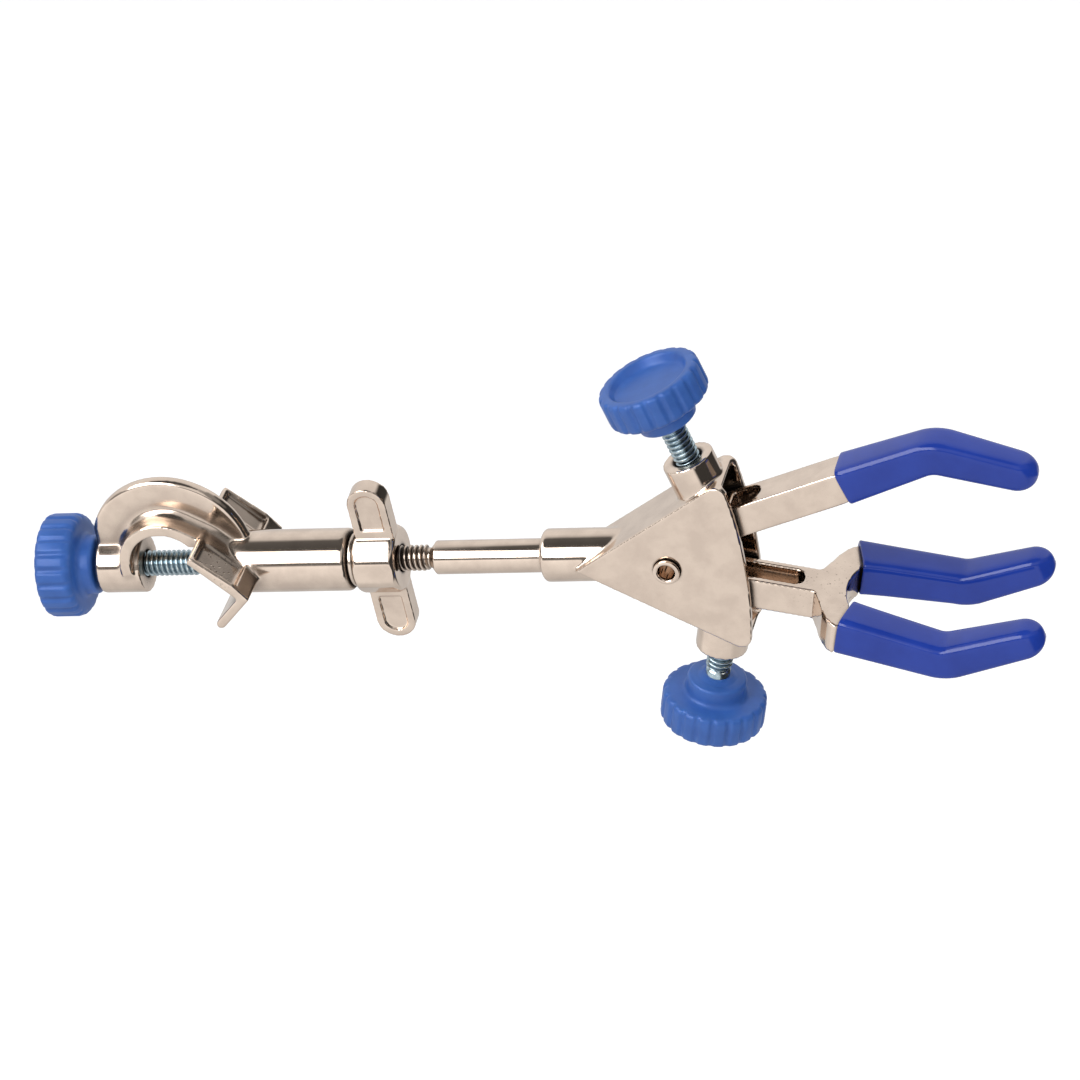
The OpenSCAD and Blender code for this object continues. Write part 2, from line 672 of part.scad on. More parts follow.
module jaw_spring() {
    // a coil round the pin, with a leg under the upper arm and one in the lower arm's hollow
    up = jaw_point(1, upper_angle, 7.8, arm_in - wire_d / 2 - 0.4);
    up_end = jaw_point(1, upper_angle, 13, arm_in - wire_d / 2 - 0.1);
    low = jaw_point(-1, lower_angle, 12, arm_out - trough_floor - wire_d / 2 - 0.1);
    low_end = jaw_point(-1, lower_angle, 15, arm_out - trough_floor - wire_d / 2 - 0.1);
    a0 = atan2(up[1], up[0]) + acos(coil_r / norm(up));
    a1 = atan2(low[1], low[0]) - acos(coil_r / norm(low)) + 720;
    half = coil_pitch * (a1 - a0) / 720;
    color(zinc) at_pivot() wire(concat(
        [at(up_end, half), at(up, half)],
        [for (i = [0:40]) let(a = a0 + (a1 - a0) * i / 40) at(coil_r * turn(a), half - 2 * half * i / 40)],
        [at(low, -half), at(low_end, -half)]));
}

boss_head();
boss_screw();
boss_knob();
wing_washer();
wing_nut();
extension_rod();
clamp_housing();
pivot_pin();
jaw_spring();
upper_jaw();
upper_sleeve();
lower_jaw();
front_sleeve();
back_sleeve();
upper_screw();
upper_knob();
lower_screw();
lower_knob();
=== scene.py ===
"""Looks of a three-prong laboratory clamp on a swivelling boss head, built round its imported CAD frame.

The row frame is metric: X runs along the extension rod towards the jaws, Z towards the single upper
prong, and Y is the axis of the stand rod whose centre is the origin. Sizes below are in millimetres.
"""

import logging
import math
from collections.abc import Mapping, Sequence
from dataclasses import dataclass, field
from enum import Enum

import bmesh
import bpy
from mathutils import Matrix, Vector


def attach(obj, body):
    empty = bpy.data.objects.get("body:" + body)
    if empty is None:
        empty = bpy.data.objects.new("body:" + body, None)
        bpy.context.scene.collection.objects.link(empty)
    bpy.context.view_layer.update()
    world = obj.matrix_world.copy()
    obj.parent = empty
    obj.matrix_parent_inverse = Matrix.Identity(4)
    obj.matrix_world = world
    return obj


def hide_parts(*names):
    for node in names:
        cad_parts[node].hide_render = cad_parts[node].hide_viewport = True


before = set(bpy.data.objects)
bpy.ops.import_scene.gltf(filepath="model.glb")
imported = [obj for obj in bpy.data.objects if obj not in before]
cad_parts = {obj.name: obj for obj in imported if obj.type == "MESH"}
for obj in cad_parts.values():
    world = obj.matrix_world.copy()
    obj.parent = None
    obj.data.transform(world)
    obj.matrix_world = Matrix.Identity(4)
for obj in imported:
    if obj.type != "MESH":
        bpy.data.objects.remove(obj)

log = logging.getLogger("clamp")
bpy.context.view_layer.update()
MM = 0.001
PIVOT_X = 115.5
CLOSE = 1e-4
Colour = tuple[float, float, float, float]
Socket = bpy.types.NodeSocket


class Slot(Enum):
    """The material slots of the record."""

    CASTING = "casting"
    SCREW = "screw"
    KNOB = "knob"
    SLEEVE = "sleeve"
    SPRING = "spring"


class Body(Enum):
    """The moving bodies that pieces ride on."""

    BOSS_FEED = "boss_feed"
    BOSS_HANDLE = "boss_handle"
    CLAMP = "clamp"
    WASHER = "washer"
    SINGLE = "single"
    FORK = "fork"
    UPPER_FEED = "upper_feed"
    UPPER_HANDLE = "upper_handle"
    LOWER_FEED = "lower_feed"
    LOWER_HANDLE = "lower_handle"


class Side(Enum):
    """Which of the two jaws a thing belongs to; the value is its sign along Z."""

    UPPER = 1
    LOWER = -1


# --------------------------------------------------------------------------------------- materials


def linear(code: str) -> Colour:
    """Turns an sRGB hexadecimal colour into Blender's linear space.

    Args:
        code: The colour, such as "#d6c8bc".

    Returns:
        Red, green, blue and a full alpha.
    """
    parts = [int(code[i : i + 2], 16) / 255 for i in (1, 3, 5)]
    red, green, blue = (p / 12.92 if p <= 0.04045 else ((p + 0.055) / 1.055) ** 2.4 for p in parts)
    return (red, green, blue, 1.0)


def grey(level: float) -> Colour:
    """Makes a grey.

    Args:
        level: Its linear brightness.

    Returns:
        The same red, green and blue, and a full alpha.
    """
    return (level, level, level, 1.0)


def add_node(
    tree: bpy.types.NodeTree,
    kind: str,
    inputs: Mapping[str | int, object] | None = None,
    stops: Sequence[tuple[float, Colour]] = (),
    **settings: object,
) -> bpy.types.Node:
    """Adds a node with its settings and links.

    Args:
        tree: The node tree.
        kind: The node's type, without the word that all shader nodes start with.
        inputs: A value, or the output socket to join, for each input by name or number.
        stops: Positions and colours where the node has a colour ramp.
        settings: Attributes of the node.

    Returns:
        The node.
    """
    node = tree.nodes.new("ShaderNode" + kind)
    for name, value in settings.items():
        setattr(node, name, value)
    for index, (place, colour) in enumerate(stops):
        elements = node.color_ramp.elements
        element = elements[index] if index < 2 else elements.new(place)
        element.position, element.color = place, colour
    for name, value in (inputs or {}).items():
        socket = node.inputs[name]
        if isinstance(value, Socket):
            tree.links.new(value, socket)
        else:
            socket.default_value = value
    return node


@dataclass(frozen=True)
class Finish:
    """What all finishes share: a name, two shades of one colour, and fine relief."""

    name: str
    colour: str
    shade: str
    patch_mm: float
    grain_mm: float
    grain_depth_mm: float

    def start(self) -> tuple[bpy.types.Material, bpy.types.Node, Socket, Socket]:
        """Makes the material with its patchy colour.

        Returns:
            The material, its shader, the place on the piece, and the colour.
        """
        material = bpy.data.materials.new(self.name)
        material.use_nodes = True
        tree = material.node_tree
        place = add_node(tree, "TexCoord").outputs["Object"]
        patch = add_node(
            tree, "TexNoise", {"Vector": place, "Scale": 1 / (self.patch_mm * MM), "Detail": 3.0}
        )
        colour = add_node(
            tree, "ValToRGB", {"Fac": patch.outputs["Fac"]},
            stops=((0.38, linear(self.colour)), (0.66, linear(self.shade))),
        )
        return material, tree.nodes["Principled BSDF"], place, colour.outputs["Color"]

    def relief(self, tree: bpy.types.NodeTree, place: Socket, under: Socket | None = None) -> Socket:
        """Adds the fine relief.

        Args:
            tree: The node tree.
            place: The place on the piece.
            under: The normal of a broader relief that this one lies on.

        Returns:
            The normal.
        """
        grain = add_node(
            tree, "TexNoise", {"Vector": place, "Scale": 1 / (self.grain_mm * MM), "Detail": 3.0}
        )
        inputs = {"Height": grain.outputs["Fac"], "Distance": self.grain_depth_mm * MM}
        if under:
            inputs["Normal"] = under
        return add_node(tree, "Bump", inputs).outputs["Normal"]


@dataclass(frozen=True)
class NickelPlate(Finish):
    """Bright nickel over a zinc die casting."""

    name: str = "nickel_plate"
    colour: str = "#e2d0c0"
    shade: str = "#d6c4b5"
    patch_mm: float = 5.0
    grain_mm: float = 0.5
    grain_depth_mm: float = 0.0012
    roughness: float = 0.085
    wave_mm: float = 7.0
    wave_depth_mm: float = 0.02
    # corner_mm, corner_range and the colour below paint shade into inner corners and hollows, found by
    # ambient occlusion
    corner_mm: float = 4.0
    corner_range: tuple[float, float] = (0.38, 0.8)
    painted_shade_colour: Colour = (0.045, 0.04, 0.038, 1.0)
    corner_roughness: float = 0.6
    pits_at: tuple[float, float, float] | None = None
    pits_reach_mm: float = 10.0
    pit_mm: float = 0.9
    pit_patch_mm: float = 2.2
    pit_depth_mm: float = 0.08
    pit_colour: str = "#4a3d33"

    def build(self) -> bpy.types.Material:
        """Returns the finished material."""
        # a warm mirror, a little uneven where the casting below is; its inner corners get painted shade in
        # the colour and more roughness
        material, shader, place, colour = self.start()
        tree = material.node_tree
        corner = add_node(tree, "AmbientOcclusion", {"Distance": self.corner_mm * MM}, samples=16)
        closed, clear = self.corner_range
        # painted shade: the colour is darkened wherever the ambient occlusion finds a closed-in corner
        painted_shade = add_node(
            tree, "ValToRGB", {"Fac": corner.outputs["AO"]},
            stops=((closed, self.painted_shade_colour), (clear, grey(1))),
        )
        rough = add_node(
            tree, "MapRange",
            {
                "Value": corner.outputs["AO"], "From Min": closed, "From Max": clear,
                "To Min": self.corner_roughness, "To Max": self.roughness,
            },
        )
        colour = add_node(
            tree, "Mix", {0: 1.0, 6: colour, 7: painted_shade.outputs["Color"]},
            data_type="RGBA", blend_type="MULTIPLY",
        ).outputs[2]
        wave = add_node(
            tree, "TexNoise", {"Vector": place, "Scale": 1 / (self.wave_mm * MM), "Detail": 1.0}
        )
        normal = add_node(
            tree, "Bump", {"Height": wave.outputs["Fac"], "Distance": self.wave_depth_mm * MM}
        ).outputs["Normal"]
        if self.pits_at:
            pits = self.pits(tree, place, self.pits_at)
            colour = add_node(
                tree, "Mix", {0: pits, 6: colour, 7: linear(self.pit_colour)}, data_type="RGBA"
            ).outputs[2]
            normal = add_node(
                tree, "Bump", {"Height": pits, "Distance": self.pit_depth_mm * MM, "Normal": normal},
                invert=True,
            ).outputs["Normal"]
        tree.links.new(colour, shader.inputs["Base Color"])
        tree.links.new(self.relief(tree, place, normal), shader.inputs["Normal"])
        tree.links.new(rough.outputs["Result"], shader.inputs["Roughness"])
        shader.inputs["Metallic"].default_value = 1.0
        return material

    def pits(
        self, tree: bpy.types.NodeTree, place: Socket, centre: tuple[float, float, float]
    ) -> Socket:
        """Adds dark casting pits round one point of the piece.

        Args:
            tree: The node tree.
            place: The place on the piece.
            centre: Where they are thickest, in millimetres.

        Returns:
            How much of a pit there is.
        """
        cells = add_node(tree, "TexVoronoi", {"Vector": place, "Scale": 1 / (self.pit_mm * MM)})
        spots = add_node(
            tree, "ValToRGB", {"Fac": cells.outputs["Distance"]}, stops=((0.05, grey(1)), (0.3, grey(0)))
        )
        patch = add_node(
            tree, "TexNoise", {"Vector": place, "Scale": 1 / (self.pit_patch_mm * MM), "Detail": 2.0}
        )
        some = add_node(
            tree, "ValToRGB", {"Fac": patch.outputs["Fac"]}, stops=((0.46, grey(0)), (0.6, grey(1)))
        )
        away = add_node(
            tree, "VectorMath", {0: place, 1: tuple(v * MM for v in centre)}, operation="DISTANCE"
        )
        near = add_node(
            tree, "MapRange",
            {"Value": away.outputs["Value"], "From Min": self.pits_reach_mm * MM, "From Max": 0.0},
        )
        both = add_node(
            tree, "Math", {0: spots.outputs["Color"], 1: some.outputs["Color"]}, operation="MULTIPLY"
        )
        return add_node(
            tree, "Math", {0: both.outputs[0], 1: near.outputs["Result"]}, operation="MULTIPLY"
        ).outputs[0]


@dataclass(frozen=True)
class ZincPlate(Finish):
    """Bright zinc on a rolled steel thread."""

    name: str = "zinc_plate"
    colour: str = "#bccbd2"
    shade: str = "#93a6af"
    patch_mm: float = 1.2
    grain_mm: float = 0.3
    grain_depth_mm: float = 0.004
    roughness: float = 0.2
    # root_mm and the colour below paint shade into the thread roots, found by ambient occlusion
    root_mm: float = 0.8
    root_shade_colour: Colour = (0.28, 0.33, 0.36, 1.0)

    def build(self) -> bpy.types.Material:
        """Returns the finished material."""
        # a cold, slightly blue mirror with painted shade darkening its thread roots
        material, shader, place, colour = self.start()
        tree = material.node_tree
        corner = add_node(tree, "AmbientOcclusion", {"Distance": self.root_mm * MM}, samples=8)
        root = add_node(
            tree, "ValToRGB", {"Fac": corner.outputs["AO"]},
            stops=((0.2, self.root_shade_colour), (0.75, grey(1))),
        )
        colour = add_node(
            tree, "Mix", {0: 1.0, 6: colour, 7: root.outputs["Color"]},
            data_type="RGBA", blend_type="MULTIPLY",
        ).outputs[2]
        tree.links.new(colour, shader.inputs["Base Color"])
        tree.links.new(self.relief(tree, place), shader.inputs["Normal"])
        shader.inputs["Metallic"].default_value = 1.0
        shader.inputs["Roughness"].default_value = self.roughness
        return material


@dataclass(frozen=True)
class KnobPlastic(Finish):
    """Satin injection-moulded polypropylene."""

    name: str = "knob_polypropylene"
    colour: str = "#3a69b9"
    shade: str = "#3460ad"
    patch_mm: float = 6.0
    grain_mm: float = 0.35
    grain_depth_mm: float = 0.003

    def build(self) -> bpy.types.Material:
        """Returns the finished material."""
        # mid blue with a soft sheen; light goes a little way into its thin edges
        material, shader, place, colour = self.start()
        tree = material.node_tree
        tree.links.new(colour, shader.inputs["Base Color"])
        tree.links.new(self.relief(tree, place), shader.inputs["Normal"])
        shader.inputs["Roughness"].default_value = 0.38
        shader.inputs["IOR"].default_value = 1.49
        shader.inputs["Subsurface Weight"].default_value = 0.1
        shader.inputs["Subsurface Radius"].default_value = (0.4, 0.6, 1.6)
        shader.inputs["Subsurface Scale"].default_value = MM
        return material


@dataclass(frozen=True)
class DippedVinyl(Finish):
    """Smooth vinyl, dipped in layers."""

    name: str = "sleeve_vinyl"
    colour: str = "#2442a8"
    shade: str = "#203c9e"
    patch_mm: float = 9.0
    grain_mm: float = 0.6
    grain_depth_mm: float = 0.002
    lump_mm: float = 5.0
    lump_depth_mm: float = 0.03

    def build(self) -> bpy.types.Material:
        """Returns the finished material."""
        # deep glossy blue whose long highlights waver over soft lumps
        material, shader, place, colour = self.start()
        tree = material.node_tree
        lump = add_node(
            tree, "TexNoise", {"Vector": place, "Scale": 1 / (self.lump_mm * MM), "Detail": 1.0}
        )
        soft = add_node(
            tree, "Bump", {"Height": lump.outputs["Fac"], "Distance": self.lump_depth_mm * MM}
        )
        tree.links.new(colour, shader.inputs["Base Color"])
        tree.links.new(self.relief(tree, place, soft.outputs["Normal"]), shader.inputs["Normal"])
        shader.inputs["Roughness"].default_value = 0.1
        shader.inputs["IOR"].default_value = 1.42
        return material


@dataclass(frozen=True)
class SpringSteel(Finish):
    """Drawn spring wire."""

    name: str = "spring_steel"
    colour: str = "#8d8c88"
    shade: str = "#6f6d69"
    patch_mm: float = 0.8
    grain_mm: float = 0.2
    grain_depth_mm: float = 0.003

    def build(self) -> bpy.types.Material:
        """Returns the finished material."""
        # grey and half dull, with the fine lines of the die
        material, shader, place, colour = self.start()
        tree = material.node_tree
        tree.links.new(colour, shader.inputs["Base Color"])
        tree.links.new(self.relief(tree, place), shader.inputs["Normal"])
        shader.inputs["Metallic"].default_value = 1.0
        shader.inputs["Roughness"].default_value = 0.35
        return material


# ------------------------------------------------------------------------------------ mesh building


@dataclass
class Piece:
    """One new object, with the CAD node it stands for and the body it rides."""

    name: str
    body: Body
    slot: Slot
    node: str
    material: bpy.types.Material
    crease: float = 50.0

    def finish(self, mesh: bmesh.types.BMesh, matrix: Matrix) -> None:
        """Turns a bmesh in millimetres into the finished object, at the world's origin.

        Args:
            mesh: The geometry, which is freed.
            matrix: Where it goes in the row frame, in millimetres.
        """
        bmesh.ops.remove_doubles(mesh, verts=mesh.verts, dist=CLOSE)
        bmesh.ops.transform(mesh, matrix=Matrix.Scale(MM, 4) @ matrix, verts=mesh.verts)
        bmesh.ops.recalc_face_normals(mesh, faces=mesh.faces)
        for face in mesh.faces:
            face.smooth = True
        data = bpy.data.meshes.new(self.name)
        mesh.to_mesh(data)
        mesh.free()
        data.materials.append(self.material)
        data.set_sharp_from_angle(angle=math.radians(self.crease))
        made = bpy.data.objects.new(self.name, data)
        bpy.context.scene.collection.objects.link(made)
        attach(made, self.body.value)
        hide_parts(self.node)
        log.info("%s: %d faces", self.name, len(data.polygons))


def turn_profile(
    mesh: bmesh.types.BMesh, profile: Sequence[tuple[float, float]], steps: int = 64
) -> None:
    """Spins a profile all the way round Z.

    Args:
        mesh: The bmesh to add to.
        profile: Points as radius and height, the first and the last on the axis or on each other.
        steps: Steps in the turn.
    """
    verts = [mesh.verts.new((r, 0.0, z)) for r, z in profile]
    edges = [mesh.edges.new(pair) for pair in zip(verts, verts[1:])]
    bmesh.ops.spin(
        mesh, geom=verts + edges, cent=(0, 0, 0), axis=(0, 0, 1), angle=2 * math.pi, steps=steps,
        use_merge=True,
    )
    bmesh.ops.remove_doubles(mesh, verts=mesh.verts, dist=CLOSE)


def bridge_rings(mesh: bmesh.types.BMesh, rings: Sequence[Sequence[Vector]]) -> None:
    """Skins rings that have the same number of points, and closes both ends.

    Args:
        mesh: The bmesh to add to.
        rings: The rings in order.
    """
    before: list[bmesh.types.BMEdge] = []
    for index, ring in enumerate(rings):
        verts = bmesh.ops.create_circle(mesh, segments=len(ring), radius=1.0)["verts"]
        for vert, place in zip(verts, ring):
            vert.co = place
        loop = list({edge for vert in verts for edge in vert.link_edges})
        if index in (0, len(rings) - 1):
            bmesh.ops.edgeloop_fill(mesh, edges=loop)
        if before:
            bmesh.ops.bridge_loops(mesh, edges=before + loop)
        before = loop


def sweep(mesh: bmesh.types.BMesh, path: Sequence[Vector], radius: float, sides: int = 14) -> None:
    """Skins a round wire along a path.

    Args:
        mesh: The bmesh to add to.
        path: The wire's middle line.
        radius: The wire's radius.
        sides: Points round the wire.
    """
    rings = []
    for i, point in enumerate(path):
        along = (path[min(i + 1, len(path) - 1)] - path[max(i - 1, 0)]).normalized()
        out = along.cross(Vector((0, 1, 0.001))).normalized()
        side = along.cross(out)
        turns = [2 * math.pi * k / sides for k in range(sides)]
        rings.append([point + radius * (math.cos(t) * out + math.sin(t) * side) for t in turns])
    bridge_rings(mesh, rings)


@dataclass(frozen=True)
class Thread:
    """A right-hand quarter-inch thread on a turned blank, from one height to another.

    Over one pitch its section is a V that would rise to crest and falls by flank a pitch, cut off at 0
    and 1 and then rounded. Its depth is depth_share of the pitch, and it fades out at both ends.
    """

    low: float
    high: float
    radius: float = 3.155
    pitch: float = 1.27
    depth_share: float = 0.61
    crest: float = 1.32
    flank: float = 2.9
    fade: float = 0.8
    points_a_pitch: int = 12

    @property
    def root(self) -> float:
        """Radius at the bottom of the thread."""
        return self.radius - self.depth_share * self.pitch

    def heights(self) -> list[float]:
        """Spaces the points that the blank's profile needs along the thread.

        Returns:
            Their heights.
        """
        count = int((self.high - self.low) / self.pitch * self.points_a_pitch)
        return [self.low + (self.high - self.low) * i / count for i in range(count + 1)]

    def cut(self, mesh: bmesh.types.BMesh) -> None:
        """Raises the thread on a blank turned to the root's radius.

        Args:
            mesh: The blank.
        """
        for vert in mesh.verts:
            x, y, z = vert.co
            r = math.hypot(x, y)
            if not self.low < z < self.high or r < self.root - 0.01:
                continue
            lap = (z / self.pitch - math.atan2(y, x) / (2 * math.pi)) % 1.0
            rise = min(1.0, max(0.0, self.crest - self.flank * abs(lap - 0.5)))
            ends = min(1.0, (z - self.low) / self.fade, (self.high - z) / self.fade)
            grown = r + (self.radius - self.root) * rise * rise * (3 - 2 * rise) * ends
            vert.co = (x * grown / r, y * grown / r, z)


def along_x(start: float) -> Matrix:
    """Lays +Z along +X.

    Args:
        start: Where height 0 comes to lie.

    Returns:
        The matrix.
    """
    return Matrix.Translation((start, 0, 0)) @ Matrix.Rotation(math.pi / 2, 4, "Y")


def blend(values: Sequence[float], index: int, t: float) -> float:
    """Mixes an entry with the next.

    Args:
        values: The entries.
        index: The first of the two.
        t: How far to go towards the second.

    Returns:
        The value in between.
    """
    return values[index] + (values[index + 1] - values[index]) * t


# -------------------------------------------------------------------------------------- the pieces


@dataclass(frozen=True)
class Knob:
    """A fluted knob: dished top at height 0, hub and nose towards +Z."""

    radius: float = 12.6
    skirt: float = 8.0
    hub_radius: float = 7.2
    hub: float = 4.7
    nose_radius: float = 4.5
    nose: float = 0.7
    dish_radius: float = 9.7
    dish: float = 2.2
    shoulder: float = 1.3
    flutes: int = 20
    flute_depth: float = 0.5
    flute_half_width: float = 0.2
    steps_a_flute: int = 12
    rim_reach: float = 1.4
    rim_fade: float = 1.2

    @property
    def height(self) -> float:
        """Overall height."""
        return self.skirt + self.hub + self.nose

    def profile(self) -> list[tuple[float, float]]:
        """Draws the knob's half section.

        Returns:
            Radius and height from the middle of the dish, over rim and hub, to the nose.
        """
        r, d, hub, nose = self.radius, self.dish_radius, self.hub_radius, self.nose_radius
        h, deep, b = self.skirt, self.dish, self.shoulder
        top, end = self.skirt + self.hub, self.height
        dish = [
            (0.0, deep), (d * 0.6, deep), (d - 1.5, deep - 0.02), (d - 0.95, deep - 0.2),
            (d - 0.6, deep - 0.65), (d - 0.1, 0.6), (d + 0.15, 0.2), (d + 0.5, 0.03), (d + 0.9, 0.0),
        ]
        rim = [
            (r - 1.2, 0.0), (r - 0.75, 0.08), (r - 0.35, 0.35), (r - 0.1, 0.8), (r, 1.4), (r, h - b),
            (r - 0.12 * b, h - 0.54 * b), (r - 0.42 * b, h - 0.17 * b), (r - 0.85 * b, h - 0.02),
            (r - 1.4 * b, h),
        ]
        neck = [
            (hub + 1.3, h), (hub + 0.5, h + 0.2), (hub + 0.1, h + 0.75), (hub, h + 1.5),
            (hub, top - 0.9), (hub - 0.15, top - 0.4), (hub - 0.6, top - 0.05),
        ]
        tip = [
            (nose + 0.5, top), (nose, top + 0.1), (nose - 0.75, end - 0.05), (nose - 1.0, end), (0.0, end),
        ]
        return dish + rim + neck + tip

    def groove(self, turn: float) -> float:
        """Tells how deep the flutes are at a place on the rim.

        Args:
            turn: Angle round the knob in radians.

        Returns:
            The depth, from 0 on the lands to 1.
        """
        away = abs((turn * self.flutes / (2 * math.pi)) % 1.0 - 0.5) / self.flute_half_width
        return (1.0 - away * away) ** 0.7 if away < 1.0 else 0.0

    def build(self, mesh: bmesh.types.BMesh) -> None:
        """Turns the blank and presses the flutes into its rim.

        Args:
            mesh: The bmesh to add to.
        """
        turn_profile(mesh, self.profile(), self.flutes * self.steps_a_flute)
        for vert in mesh.verts:
            x, y, z = vert.co
            r = math.hypot(x, y)
            rim = min(1.0, (r - self.radius + self.rim_reach) / self.rim_fade)
            if rim > 0.0:
                pressed = 1.0 - self.flute_depth * rim * self.groove(math.atan2(y, x)) / r
                vert.co = (x * pressed, y * pressed, z)


@dataclass(frozen=True)
class Screw:
    """A quarter-inch screw with a plain shank in the knob and a rounded end."""

    length: float
    plain: float
    shank: float = 2.95
    runout: float = 0.6
    dome_degrees: tuple[int, ...] = (22, 37, 52, 66, 79)
    steps: int = 40

    def build(self, mesh: bmesh.types.BMesh) -> None:
        """Adds the screw to a bmesh, its foot at height 0.

        Args:
            mesh: The bmesh to add to.
        """
        root = Thread(self.plain, self.length).root
        thread = Thread(self.plain, self.length - root + self.runout)
        dome = [
            (root * math.cos(a), self.length - root + root * math.sin(a))
            for a in (math.radians(d) for d in self.dome_degrees)
        ]
        shank, plain = self.shank, self.plain
        foot = [(0.0, 0.0), (shank, 0.0), (shank, plain - 0.5), (shank - 0.15, plain - 0.3)]
        profile = foot + [(root, z) for z in thread.heights()]
        turn_profile(mesh, profile + dome + [(0.0, self.length)], self.steps)
        thread.cut(mesh)


@dataclass(frozen=True)
class Oval:
    """A section's half depth, half width, and power: 2 is an ellipse, and more is squarer."""

    h: float
    w: float
    power: float


@dataclass(frozen=True)
class Sleeve:
    """A soft sleeve over a bent prong, in the prong's own frame of s, y and h."""

    line: tuple[tuple[float, float], ...]
    start: float
    across: tuple[float, float, float]
    extra: float = 0.0
    slant: float = 0.0
    half_h: tuple[float, float, float] = (4.9, 4.4, 3.8)
    half_w: tuple[float, float, float] = (5.4, 4.9, 4.1)
    power: tuple[float, float, float] = (5.5, 4.6, 3.6)
    bend_radius: float = 9.0
    dome: float = 5.0
    mouth: tuple[tuple[float, float], ...] = (
        (0.9, 0.14), (0.75, 0.02), (0.35, 0.0), (0.1, 0.12), (0.0, 0.4)
    )
    points: int = 48
    straight_steps: int = 12
    bend_steps: int = 8
    taper_steps: int = 11
    dome_steps: int = 12
    dome_step_degrees: float = 7.2
    dome_roundness: float = 0.9

    def section(self, centre: Vector, slope: float, oval: Oval, slant: float = 0.0) -> list[Vector]:
        """Lays out a ring in the shape of a rounded rectangle.

        Args:
            centre: Its middle.
            slope: Direction of the prong there, in radians.
            oval: Its size.
            slant: How far it reaches along the prong for each millimetre across.

        Returns:
            The ring's points.
        """
        along = Vector((math.cos(slope), 0, math.sin(slope)))
        up = Vector((-math.sin(slope), 0, math.cos(slope)))
        ring = []
        for k in range(self.points):
            t = 2 * math.pi * k / self.points
            y = oval.w * math.copysign(abs(math.cos(t)) ** (2 / oval.power), math.cos(t))
            z = oval.h * math.copysign(abs(math.sin(t)) ** (2 / oval.power), math.sin(t))
            ring.append(centre + slant * y * along + y * Vector((0, 1, 0)) + z * up)
        return ring

    def oval(self, index: int, t: float, scale: float = 1.0) -> Oval:
        """Sizes the section at a place along the prong.

        Args:
            index: The run, 0 before the bend or 1 after it.
            t: The fraction of the run.
            scale: What its size is multiplied by.

        Returns:
            The section.
        """
        h, w = blend(self.half_h, index, t), blend(self.half_w, index, t)
        return Oval(scale * h, scale * w, blend(self.power, index, t))

    def build(self, mesh: bmesh.types.BMesh) -> None:
        """Adds the sleeve to a bmesh: a rolled mouth, a straight, a bend, a taper and a dome.

        Args:
            mesh: The bmesh to add to.
        """
        a, b, c = (Vector((s, 0, h)) for s, h in self.line)
        d0, d1 = (b - a).normalized(), (c - b).normalized()
        a0, a1 = math.atan2(d0.z, d0.x), math.atan2(d1.z, d1.x)
        run = self.bend_radius * math.tan(abs(a0 - a1) / 2)
        hub = b - run * d0 - self.bend_radius * Vector((-d0.z, 0, d0.x))
        begin = a + d0 * ((self.start - a.x) / d0.x)
        first = (b - begin).length - run
        last = (c - b).length + self.extra - run
        rings = []
        for inset, back in self.mouth:
            oval = Oval(self.half_h[0] - inset, self.half_w[0] - inset, self.power[0])
            centre = begin + d0 * back + Vector((0, self.across[0], 0))
            rings.append(self.section(centre, a0, oval, self.slant))
        for i in range(1, self.straight_steps):
            t = i / self.straight_steps
            centre = begin + d0 * (first * t) + Vector((0, blend(self.across, 0, t), 0))
            rings.append(self.section(centre, a0, self.oval(0, t), self.slant * max(0.0, 1 - 3 * t)))
        for i in range(self.bend_steps + 1):
            slope = a0 + (a1 - a0) * i / self.bend_steps
            centre = hub + self.bend_radius * Vector((-math.sin(slope), 0, math.cos(slope)))
            rings.append(self.section(centre + Vector((0, self.across[1], 0)), slope, self.oval(1, 0.0)))
        for i in range(1, self.taper_steps + self.dome_steps + 1):
            turn = math.radians(self.dome_step_degrees * max(0, i - self.taper_steps))
            straight = (last - self.dome) * min(i, self.taper_steps) / self.taper_steps
            e = straight + self.dome * math.sin(turn)
            centre = b + d1 * (run + e) + Vector((0, blend(self.across, 1, e / last), 0))
            size = math.cos(turn) ** self.dome_roundness
            rings.append(self.section(centre, a1, self.oval(1, e / last, size)))
        bridge_rings(mesh, rings)


@dataclass(frozen=True)
class Casting:
    """A CAD casting whose edges are softened as plating and tumbling leave them."""

    node: str
    voxel: float = 0.33
    passes: int = 10

    def dress(self, material: bpy.types.Material) -> None:
        """Rounds the casting and gives it its finish.

        Args:
            material: The finish.
        """
        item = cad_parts[self.node]
        remesh = item.modifiers.new("even", "REMESH")
        remesh.mode = "VOXEL"
        remesh.voxel_size = self.voxel * MM
        remesh.use_smooth_shade = True
        soften = item.modifiers.new("soften", "SMOOTH")
        soften.iterations = self.passes
        item.data.materials.clear()
        item.data.materials.append(material)
        log.info("%s: casting with %.2f mm detail", self.node, self.voxel)


# ---------------------------------------------------------------------------------- sub-assemblies


